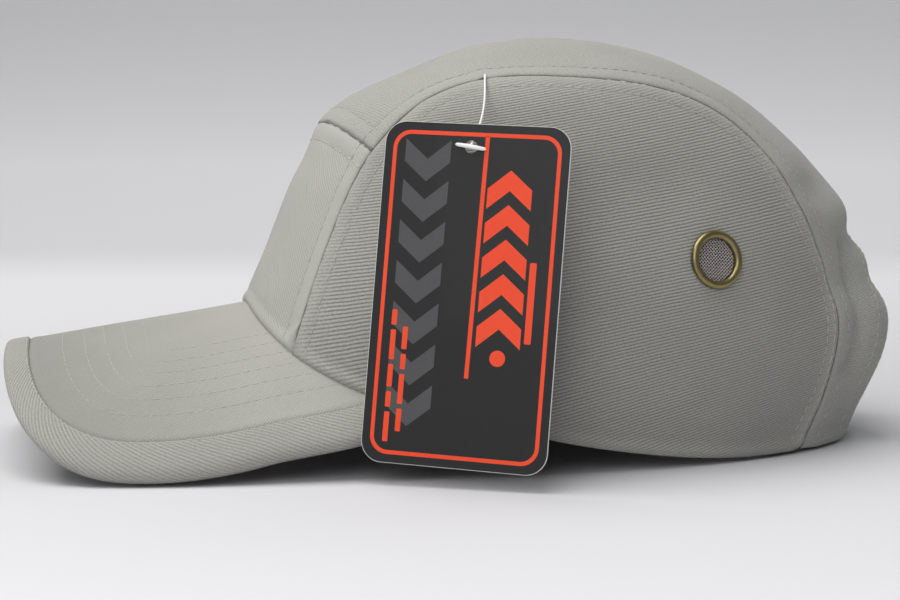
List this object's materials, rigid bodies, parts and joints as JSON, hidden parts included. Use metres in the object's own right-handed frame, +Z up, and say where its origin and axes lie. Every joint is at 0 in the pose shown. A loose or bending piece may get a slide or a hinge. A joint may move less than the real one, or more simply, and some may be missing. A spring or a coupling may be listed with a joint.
{
  "type": "bump cap",
  "caption": "Baseball-style bump cap: twill panels, curved visor, mesh eyelets, rear hook-and-loop strap, removable padded shell and a hang tag.",
  "frame": {"origin": "centre of the head opening, on the level of the surface the cap stands on", "axes": "+Z up; -Y the way the visor points; +X the wearer's left"},
  "size_m": [0.1852, 0.2707, 0.1247],
  "materials": {
    "twill": "heavy cotton twill, matt",
    "twill_under": "heavy cotton twill, matt",
    "binding": "bias-cut twill binding",
    "buckram": "stiff white buckram",
    "tape": "woven seam tape",
    "sweatband": "brushed cotton",
    "board": "moulded polyethylene board",
    "brass": "antique brass",
    "mesh": "woven wire mesh",
    "hook": "nylon hook tape",
    "loop": "nylon loop tape",
    "shell": "moulded ABS, fine grain",
    "trim": "soft edge trim",
    "foam": "foam pad with knit cover",
    "card": "black card, satin varnish",
    "nylon": "clear white nylon"
  },
  "bodies": {
    "cap": {"front_panel": "twill", "top_panel": "twill", "side_panel_left": "twill", "side_panel_right": "twill", "front_buckram": "buckram", "seam_tape_left": "tape", "seam_tape_right": "tape", "arch_binding": "tape", "hem_tape": "tape", "sweatband": "sweatband", "visor_top_cover": "twill", "visor_board": "board", "visor_under_cover": "twill_under", "visor_binding": "binding", "eyelet_ring_left": "brass", "eyelet_ring_right": "brass", "eyelet_washer_left": "brass", "eyelet_washer_right": "brass", "eyelet_mesh_left": "mesh", "eyelet_mesh_right": "mesh", "strap_left": "twill", "loop_tape": "loop", "loop_dots": "loop", "tag_anchor": "nylon"},
    "insert": {"bump_shell": "shell", "rim_trim": "trim", "crown_pad": "foam", "front_pad": "foam", "rear_pad": "foam", "side_pad_left": "foam", "side_pad_right": "foam", "hook_dots": "hook"},
    "strap": {"strap_right": "twill", "hook_tape": "hook"},
    "fastener": {"tag_fastener": "nylon"},
    "tag": {"hang_tag": "card"}
  },
  "joints": [
    {"name": "insert_slide", "type": "slide", "parent": "cap", "child": "insert", "axis": [0, 0, -1], "range_m": [0, 0.12]},
    {"name": "strap_peel", "type": "hinge", "parent": "cap", "child": "strap", "pos_m": [-0.03, 0.0966, 0.0107], "axis": [0, 0.4152, 0.9097], "range_deg": [0, 85]},
    {"name": "tag_lift", "type": "hinge", "parent": "cap", "child": "fastener", "pos_m": [0.0509, -0.0272, 0.1128], "axis": [-0.4619, -0.8861, 0.0397], "range_deg": [0, 55]},
    {"name": "tag_turn", "type": "hinge", "parent": "fastener", "child": "tag", "pos_m": [0.0831, -0.03729, 0.09241], "axis": [0.8801, -0.4523, 0.1444], "range_deg": [-3, 25]}
  ]
}
